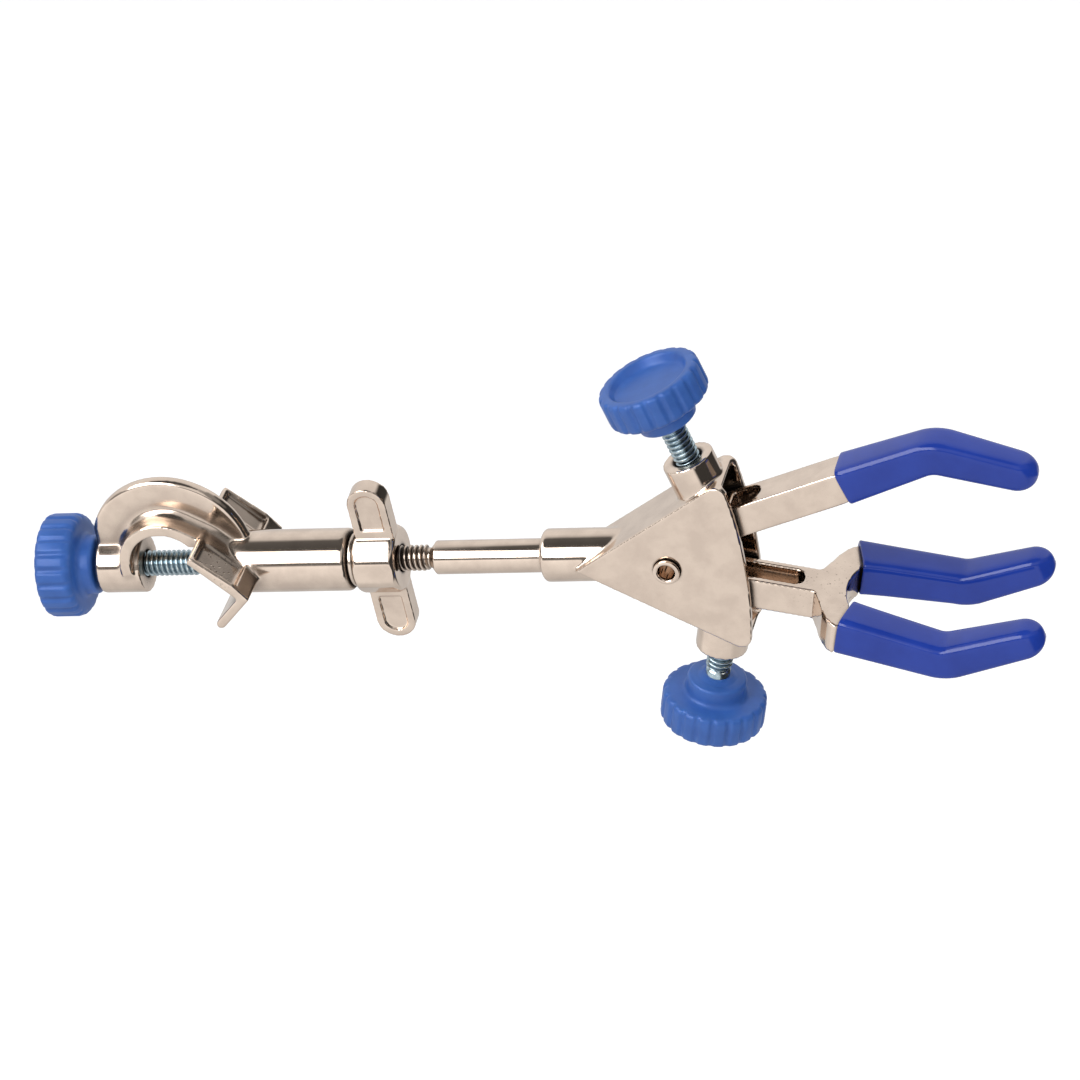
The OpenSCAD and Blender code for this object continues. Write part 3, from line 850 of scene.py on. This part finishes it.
@dataclass
class Finishes:
    """Every material, made once."""

    nickel: bpy.types.Material = field(default_factory=lambda: NickelPlate().build())
    fork: bpy.types.Material = field(
        default_factory=lambda: NickelPlate(
            name="nickel_on_rough_fork", pits_at=(154.0, 0.0, -12.0), pits_reach_mm=13.0
        ).build()
    )
    # the seat's wide corner reach spreads painted shade over its hollows; the pin's short reach keeps its
    # painted shade to the bore
    boss: bpy.types.Material = field(
        default_factory=lambda: NickelPlate(
            name="nickel_on_rough_seat", pits_at=(6.0, -12.0, 8.0), pits_reach_mm=10.0, corner_mm=9.0,
            corner_range=(0.42, 0.9),
        ).build()
    )
    pin: bpy.types.Material = field(
        default_factory=lambda: NickelPlate(name="nickel_on_pin", corner_mm=1.0).build()
    )
    zinc: bpy.types.Material = field(default_factory=lambda: ZincPlate().build())
    knob: bpy.types.Material = field(default_factory=lambda: KnobPlastic().build())
    vinyl: bpy.types.Material = field(default_factory=lambda: DippedVinyl().build())
    spring: bpy.types.Material = field(default_factory=lambda: SpringSteel().build())


@dataclass
class HandScrew:
    """A screw moulded into its knob; foot is how far its end lies from the knob's dished top."""

    name: str
    feed: Body
    handle: Body
    place: Matrix
    reach: float
    plain: float = 10.2
    knob: Knob = Knob()
    foot: float = 4.0

    def build(self, finishes: Finishes) -> None:
        """Makes knob and screw.

        Args:
            finishes: The materials.
        """
        knob, screw = f"{self.name}_knob", f"{self.name}_screw"
        mesh = bmesh.new()
        self.knob.build(mesh)
        Piece(f"{knob}_moulded", self.handle, Slot.KNOB, knob, finishes.knob).finish(mesh, self.place)
        mesh = bmesh.new()
        Screw(self.knob.height - self.foot + self.reach, self.plain).build(mesh)
        Piece(f"{screw}_threaded", self.feed, Slot.SCREW, screw, finishes.zinc, crease=70).finish(
            mesh, self.place @ Matrix.Translation((0, 0, self.foot))
        )


@dataclass
class BossHead:
    """The casting that grips the stand rod, and its screw with a thick-skirted knob."""

    face_x: float = -28.2
    reach: float = 27.5
    knob: Knob = Knob(skirt=8.9, hub=3.8, shoulder=2.0)

    def build(self, finishes: Finishes) -> None:
        """Dresses the casting and makes the hand screw.

        Args:
            finishes: The materials.
        """
        Casting("boss_head").dress(finishes.boss)
        place = along_x(self.face_x - self.knob.height)
        HandScrew(
            "boss", Body.BOSS_FEED, Body.BOSS_HANDLE, place, self.reach, knob=self.knob
        ).build(finishes)


@dataclass
class Swivel:
    """Extension rod, washer and wing nut."""

    tail_x: float = 18.0
    shoulder_x: float = 57.2
    end_x: float = 100.5
    radius: float = 4.1
    washer_x: float = 36.35
    washer_radius: float = 6.5
    washer_bore: float = 3.4
    washer_edge: float = 0.15
    washer: float = 1.2

    def build(self, finishes: Finishes) -> None:
        """Makes the rod and the washer, and dresses the wing nut.

        Args:
            finishes: The materials.
        """
        thread = Thread(self.tail_x + 0.3, self.shoulder_x - 1.6)
        root, r, s = thread.root, self.radius, self.shoulder_x
        mesh = bmesh.new()
        profile = [(0.0, self.tail_x), (root - 0.4, self.tail_x)] + [(root, z) for z in thread.heights()]
        profile += [
            (root + 0.1, s - 1.3), (r - 0.25, s - 0.15), (r - 0.06, s), (r, s + 0.3), (r, self.end_x),
            (0.0, self.end_x),
        ]
        turn_profile(mesh, profile, 48)
        thread.cut(mesh)
        Piece("rod_turned", Body.CLAMP, Slot.CASTING, "extension_rod", finishes.nickel, crease=70).finish(
            mesh, along_x(0)
        )
        mesh = bmesh.new()
        r, q, e, t = self.washer_radius, self.washer_bore, self.washer_edge, self.washer
        turn_profile(mesh, [(q, 0.0), (r - e, 0.0), (r, e), (r, t - e), (r - e, t), (q, t), (q, 0.0)])
        Piece("washer_turned", Body.WASHER, Slot.CASTING, "wing_washer", finishes.nickel).finish(
            mesh, along_x(self.washer_x)
        )
        Casting("wing_nut", voxel=0.25, passes=6).dress(finishes.nickel)


@dataclass
class Jaws:
    """Both jaws with their sleeves and hand screws."""

    upper_angle: float = 18.3
    lower_angle: float = 13.0
    lean: float = 15.4
    foot: tuple[float, float] = (9.4, 20.0)
    arm_out: float = 8.7
    gap: float = 0.42
    reach: float = 23.4
    upper_line: tuple[tuple[float, float], ...] = ((46, 4.7), (71.4, 4.75), (91.2, -10.05))
    upper_start: float = 48.4
    fork_line: tuple[tuple[float, float], ...] = ((41, 3.7), (68.4, 5.0), (89.3, -5.55))
    fork_across: tuple[float, float, float] = (12.4, 15.2, 15.6)
    fork_skew: float = 1.2

    def angle(self, side: Side) -> float:
        """Tells how far a jaw is open.

        Args:
            side: The jaw.

        Returns:
            Its angle from the rod's axis, in radians.
        """
        return math.radians(self.upper_angle if side is Side.UPPER else self.lower_angle)

    def point(self, side: Side, s: float, h: float) -> Vector:
        """Places a point of a jaw.

        Args:
            side: The jaw.
            s: Distance along it.
            h: Distance outwards from it.

        Returns:
            The point as seen from the pivot.
        """
        c, n = math.cos(self.angle(side)), math.sin(self.angle(side))
        return Vector((s * c - h * n, 0, side.value * (s * n + h * c)))

    def flip(self, side: Side) -> Matrix:
        """Mirrors the lower side.

        Args:
            side: The jaw.

        Returns:
            The mirror, which leaves the upper side alone.
        """
        return Matrix.Scale(side.value, 4, (0, 0, 1))

    def jaw_frame(self, side: Side) -> Matrix:
        """Finds the frame of a jaw.

        Args:
            side: The jaw.

        Returns:
            The frame, with s along X and h along Z.
        """
        turn = Matrix.Rotation(-self.angle(side), 4, "Y")
        return Matrix.Translation((PIVOT_X, 0, 0)) @ self.flip(side) @ turn

    def screw_frame(self, side: Side) -> Matrix:
        """Finds the frame of a jaw's knob, so that the screw's tip rests on the arm.

        Args:
            side: The jaw.

        Returns:
            The frame, with the dished top at 0 and +Z into the housing.
        """
        angle, lean = self.angle(side), math.radians(self.lean)
        level = -math.sin(angle) * self.foot[0] + math.cos(angle) * self.foot[1]
        tip = (self.arm_out - level) / math.cos(angle - lean) + self.gap
        place = Matrix.Translation((self.foot[0], 0, self.foot[1])) @ Matrix.Rotation(-lean, 4, "Y")
        lift = Matrix.Translation((0, 0, tip + self.reach + Knob().height))
        turn = Matrix.Rotation(math.pi, 4, "Y")
        return Matrix.Translation((PIVOT_X, 0, 0)) @ self.flip(side) @ place @ lift @ turn

    def build(self, finishes: Finishes) -> None:
        """Dresses the jaws and makes sleeves and hand screws.

        Args:
            finishes: The materials.
        """
        Casting("upper_jaw").dress(finishes.nickel)
        Casting("lower_jaw").dress(finishes.fork)
        single = Sleeve(self.upper_line, self.upper_start, (0, 0, 0))
        self.sleeve("upper_sleeve", Body.SINGLE, Side.UPPER, single, finishes)
        for name, sign, start, slant in (
            ("front_sleeve", -1, 43.4, 0.2),
            ("back_sleeve", 1, 42.7, -0.3),
        ):
            across = tuple(sign * v for v in self.fork_across)
            prong = Sleeve(self.fork_line, start, across, extra=-sign * self.fork_skew, slant=slant)
            self.sleeve(name, Body.FORK, Side.LOWER, prong, finishes)
        for name, feed, handle, side, plain in (
            ("upper", Body.UPPER_FEED, Body.UPPER_HANDLE, Side.UPPER, 10.2),
            ("lower", Body.LOWER_FEED, Body.LOWER_HANDLE, Side.LOWER, 11.2),
        ):
            HandScrew(name, feed, handle, self.screw_frame(side), self.reach, plain).build(finishes)

    def sleeve(self, node: str, body: Body, side: Side, sleeve: Sleeve, finishes: Finishes) -> None:
        """Makes one sleeve in its jaw's frame.

        Args:
            node: The CAD node that it stands for.
            body: The body it rides.
            side: Its jaw.
            sleeve: Its shape.
            finishes: The materials.
        """
        mesh = bmesh.new()
        sleeve.build(mesh)
        Piece(f"{node}_dipped", body, Slot.SLEEVE, node, finishes.vinyl, crease=60).finish(
            mesh, self.jaw_frame(side)
        )


@dataclass
class Housing:
    """The triangular casting, its hollow pin and the spring between the jaws.

    Each leg of the spring runs just inside two points of its jaw, given by s and h.
    """

    half_width: float = 7.6
    out: float = 1.4
    pin: float = 3.0
    bore: float = 2.0
    wire: float = 0.4
    coil: float = 3.85
    coil_pitch: float = 0.86
    coil_turns: int = 2
    coil_steps: int = 72
    upper_leg: tuple[tuple[float, float], ...] = ((7.8, 0.3), (13.0, 0.6))
    lower_leg: tuple[tuple[float, float], ...] = ((12.0, 6.6), (15.0, 6.6))
    jaws: Jaws = field(default_factory=Jaws)

    def build(self, finishes: Finishes) -> None:
        """Dresses the casting and makes the pin and the spring.

        Args:
            finishes: The materials.
        """
        Casting("clamp_housing").dress(finishes.nickel)
        self.make_pin(finishes)
        self.make_spring(finishes)

    def make_pin(self, finishes: Finishes) -> None:
        """Makes the hollow pin with a rolled lip at each end.

        Args:
            finishes: The materials.
        """
        end, r, b = self.half_width + self.out, self.pin, self.bore
        lip = [
            (r, end - 1.3), (r + 0.15, end - 1.0), (r + 0.2, end - 0.55), (r + 0.1, end - 0.15),
            (r - 0.25, end), (b + 0.35, end - 0.05), (b + 0.05, end - 0.4), (b, end - 1.0),
        ]
        mesh = bmesh.new()
        turn_profile(mesh, lip + [(q, -z) for q, z in reversed(lip)] + [lip[0]])
        turn = Matrix.Translation((PIVOT_X, 0, 0)) @ Matrix.Rotation(math.pi / 2, 4, "X")
        Piece("pin_rolled", Body.CLAMP, Slot.CASTING, "pivot_pin", finishes.pin).finish(mesh, turn)

    def make_spring(self, finishes: Finishes) -> None:
        """Makes the spring: a coil round the pin, with a leg on each jaw's inner side.

        Args:
            finishes: The materials.
        """
        up, up_end = (self.jaws.point(Side.UPPER, s, h - self.wire) for s, h in self.upper_leg)
        low, low_end = (self.jaws.point(Side.LOWER, s, h - self.wire) for s, h in self.lower_leg)
        start = math.atan2(up.z, up.x) + math.acos(self.coil / up.length)
        end = math.atan2(low.z, low.x) - math.acos(self.coil / low.length) + self.coil_turns * 2 * math.pi
        half = self.coil_pitch * (end - start) / (4 * math.pi)
        aside = Vector((0, half, 0))
        path = [up_end + aside, up + aside]
        for i in range(self.coil_steps + 1):
            turn = start + (end - start) * i / self.coil_steps
            y = half - 2 * half * i / self.coil_steps
            path.append(Vector((self.coil * math.cos(turn), y, self.coil * math.sin(turn))))
        path += [low - aside, low_end - aside]
        mesh = bmesh.new()
        sweep(mesh, path, self.wire)
        Piece("spring_wire", Body.CLAMP, Slot.SPRING, "jaw_spring", finishes.spring).finish(
            mesh, Matrix.Translation((PIVOT_X, 0, 0))
        )


# ------------------------------------------------------------------------------------------- studio


@dataclass(frozen=True)
class Lamp:
    """A soft square lamp, placed in metres."""

    name: str
    place: tuple[float, float, float]
    size: float
    power: float
    aim: tuple[float, float, float] = (0.06, 0.0, 0.0)

    def build(self) -> None:
        """Hangs the lamp and aims it at the clamp."""
        data = bpy.data.lights.new(self.name, "AREA")
        data.energy, data.size = self.power, self.size
        light = bpy.data.objects.new(self.name, data)
        light.location = self.place
        line = Vector(self.aim) - Vector(self.place)
        light.rotation_euler = line.to_track_quat("-Z", "Y").to_euler()
        light.visible_glossy = False
        bpy.context.scene.collection.objects.link(light)


# brightness of the surroundings by height in degrees: to the viewer's side, the same wall with the lamp
# that hangs before it, the wall behind the clamp, and the dark room beyond the jaws
FRONT_WALL = (
    (-90, 0.62), (-60, 0.75), (-40, 0.9), (-5, 1.1), (8, 1.25), (12, 0.25), (24, 0.4), (30, 1.0),
    (60, 0.8), (66, 0.1), (90, 0.09),
)
LAMP_WALL = (
    (-90, 0.62), (-60, 0.75), (-40, 0.9), (-5, 1.1), (8, 1.25), (12, 0.2), (21, 0.2), (23, 6.0),
    (57, 6.0), (61, 0.1), (90, 0.09),
)
BACK_WALL = (
    (-90, 0.62), (-50, 0.62), (0, 0.78), (20, 0.93), (45, 0.92), (58, 0.72), (66, 0.12), (90, 0.09)
)
DARK_WALL = (
    (-90, 0.62), (-48, 0.7), (-36, 0.06), (22, 0.04), (36, 0.3), (60, 0.3), (70, 0.08), (90, 0.08)
)
WALL_TOP = 6.0
# which wall takes over along X or Y of the direction looked in, between two values
WALL_EDGES = (
    ("X", -0.04, -0.16, LAMP_WALL), ("X", -0.69, -0.77, FRONT_WALL), ("Y", -0.12, 0.12, BACK_WALL),
    ("X", 0.42, 0.56, DARK_WALL),
)


@dataclass
class Studio:
    """Floor, soft lamps, bright surroundings and the camera, in metres and degrees.

    The camera stands at a distance from a point of the clamp, and is tilted about its own line of sight.
    """

    aim: tuple[float, float, float] = (0.08343, 0.0, 0.00434)
    distance: float = 1.26954
    azimuth: float = -70.8167
    elevation: float = 31.7153
    tilt: float = 11.5608
    lens: float = 178.304
    sensor: float = 36.0
    floor_z: float = -0.30
    floor_size: float = 4.0
    floor_glow: float = 0.4
    soft_light: float = 0.55
    lamps: tuple[Lamp, ...] = (
        Lamp("key", (-0.3, -0.8, 1.3), 0.7, 9.0), Lamp("side", (1.0, -0.6, 0.9), 0.5, 2.5)
    )

    def build(self) -> None:
        """Makes everything round the clamp."""
        self.make_camera()
        self.make_floor()
        for lamp in self.lamps:
            lamp.build()
        self.make_world()

    def make_camera(self) -> None:
        """Stands the camera at its distance and turns it to the clamp."""
        data = bpy.data.cameras.new("camera")
        data.lens, data.sensor_width = self.lens, self.sensor
        camera = bpy.data.objects.new("camera", data)
        bpy.context.scene.collection.objects.link(camera)
        around = Matrix.Rotation(math.radians(90 + self.azimuth), 4, "Z")
        over = Matrix.Rotation(math.radians(90 - self.elevation), 4, "X")
        tilt = Matrix.Rotation(math.radians(-self.tilt), 4, "Z")
        away = Matrix.Translation((0, 0, self.distance))
        camera.matrix_world = Matrix.Translation(self.aim) @ around @ over @ tilt @ away
        bpy.context.scene.camera = camera
        bpy.context.scene.view_settings.view_transform = "Standard"

    def make_floor(self) -> None:
        """Lays a pale floor under the clamp, white to the eye apart from the shadow."""
        mesh = bmesh.new()
        bmesh.ops.create_grid(mesh, x_segments=1, y_segments=1, size=self.floor_size)
        bmesh.ops.translate(mesh, verts=mesh.verts, vec=(0, 0, self.floor_z))
        data = bpy.data.meshes.new("floor")
        mesh.to_mesh(data)
        mesh.free()
        floor = bpy.data.objects.new("floor", data)
        bpy.context.scene.collection.objects.link(floor)
        material = bpy.data.materials.new("floor_card")
        material.use_nodes = True
        tree = material.node_tree
        shader = tree.nodes["Principled BSDF"]
        shader.inputs["Base Color"].default_value = grey(0.9)
        shader.inputs["Roughness"].default_value = 0.9
        eye = add_node(tree, "LightPath").outputs["Is Camera Ray"]
        lit = add_node(tree, "Math", {0: eye, 1: self.floor_glow}, operation="MULTIPLY").outputs[0]
        shader.inputs["Emission Color"].default_value = grey(1.0)
        tree.links.new(lit, shader.inputs["Emission Strength"])
        data.materials.append(material)
        floor.visible_glossy = False

    def make_world(self) -> None:
        """Surrounds the clamp with white for the eye, soft light, and walls for its reflections."""
        world = bpy.data.worlds.new("studio")
        world.use_nodes = True
        tree = world.node_tree
        look = add_node(tree, "TexCoord").outputs["Generated"]
        parts = add_node(tree, "SeparateXYZ", {0: look})
        rise = add_node(tree, "Math", {0: parts.outputs["Z"]}, operation="ARCSINE")
        level = add_node(
            tree, "MapRange", {"Value": rise.outputs[0], "From Min": -math.pi / 2, "From Max": math.pi / 2}
        )
        walls = {
            stops: add_node(
                tree, "ValToRGB", {"Fac": level.outputs["Result"]},
                stops=[((deg + 90) / 180, grey(v / WALL_TOP)) for deg, v in stops],
            ).outputs["Color"]
            for stops in (FRONT_WALL, LAMP_WALL, BACK_WALL, DARK_WALL)
        }
        wall = walls[FRONT_WALL]
        for axis, low, high, other in WALL_EDGES:
            share = add_node(
                tree, "MapRange", {"Value": parts.outputs[axis], "From Min": low, "From Max": high}
            )
            wall = add_node(
                tree, "Mix", {0: share.outputs["Result"], 6: wall, 7: walls[other]}, data_type="RGBA"
            ).outputs[2]
        full = add_node(tree, "VectorMath", {0: wall, "Scale": WALL_TOP}, operation="SCALE")
        path = add_node(tree, "LightPath")
        soft = add_node(
            tree, "Mix", {0: path.outputs["Is Camera Ray"], 6: grey(self.soft_light), 7: grey(1.0)},
            data_type="RGBA",
        )
        view = add_node(
            tree, "Mix", {0: path.outputs["Is Glossy Ray"], 6: soft.outputs[2], 7: full.outputs[0]},
            data_type="RGBA",
        )
        back = tree.nodes["Background"]
        tree.links.new(view.outputs[2], back.inputs["Color"])
        back.inputs["Strength"].default_value = 1.0
        bpy.context.scene.world = world


def main() -> None:
    """Builds the whole scene."""
    logging.basicConfig(level=logging.INFO, format="%(message)s")
    finishes = Finishes()
    for part in (BossHead(), Swivel(), Housing(), Jaws()):
        log.info("building %s", type(part).__name__)
        part.build(finishes)
    Studio().build()


if __name__ == "__main__":
    main()
